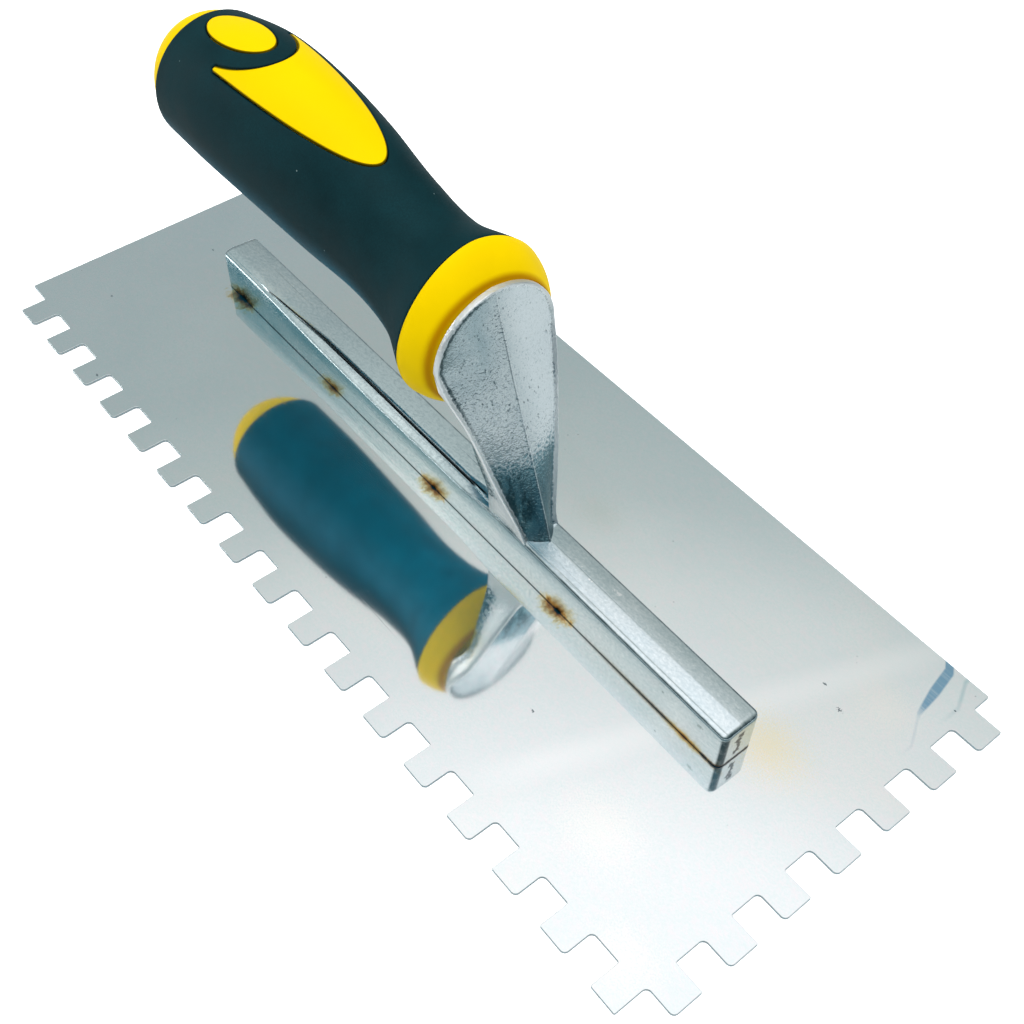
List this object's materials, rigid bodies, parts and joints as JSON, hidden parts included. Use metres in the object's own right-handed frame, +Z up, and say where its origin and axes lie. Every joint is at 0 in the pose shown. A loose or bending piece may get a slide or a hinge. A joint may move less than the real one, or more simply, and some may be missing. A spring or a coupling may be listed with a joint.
{
  "type": "notched trowel",
  "caption": "Notched adhesive trowel: flat steel blade with square notches on one long and one short edge, raised bar and neck, curved two-part handle.",
  "frame": {"origin": "middle of the blade's underside, which is the bottom centre of the bounding box", "axes": "+X along the blade towards its notched short edge, -Y towards its notched long edge, +Z up from the blade to the handle"},
  "size_m": [0.2788, 0.1184, 0.0948],
  "materials": {
    "blade_stainless": "bright rolled stainless with fine brushing and small scratches",
    "mount_alloy": "bright cast, with fine grain and worn edges",
    "stud_steel": "plain, heat tinted",
    "core_yellow": "smooth satin yellow",
    "grip_dark": "matte dark blue-green grey with fine grain",
    "cap_yellow": "smooth satin yellow",
    "bolt_zinc": "zinc plated",
    "washer_zinc": "zinc plated"
  },
  "bodies": {
    "root": {"blade": "blade_stainless", "mount_casting": "mount_alloy", "weld_stud_1": "stud_steel", "weld_stud_2": "stud_steel", "weld_stud_3": "stud_steel", "weld_stud_4": "stud_steel", "weld_stud_5": "stud_steel", "handle_core": "core_yellow", "soft_grip": "grip_dark", "end_cap": "cap_yellow", "handle_bolt": "bolt_zinc", "bolt_washer": "washer_zinc"}
  },
  "joints": []
}
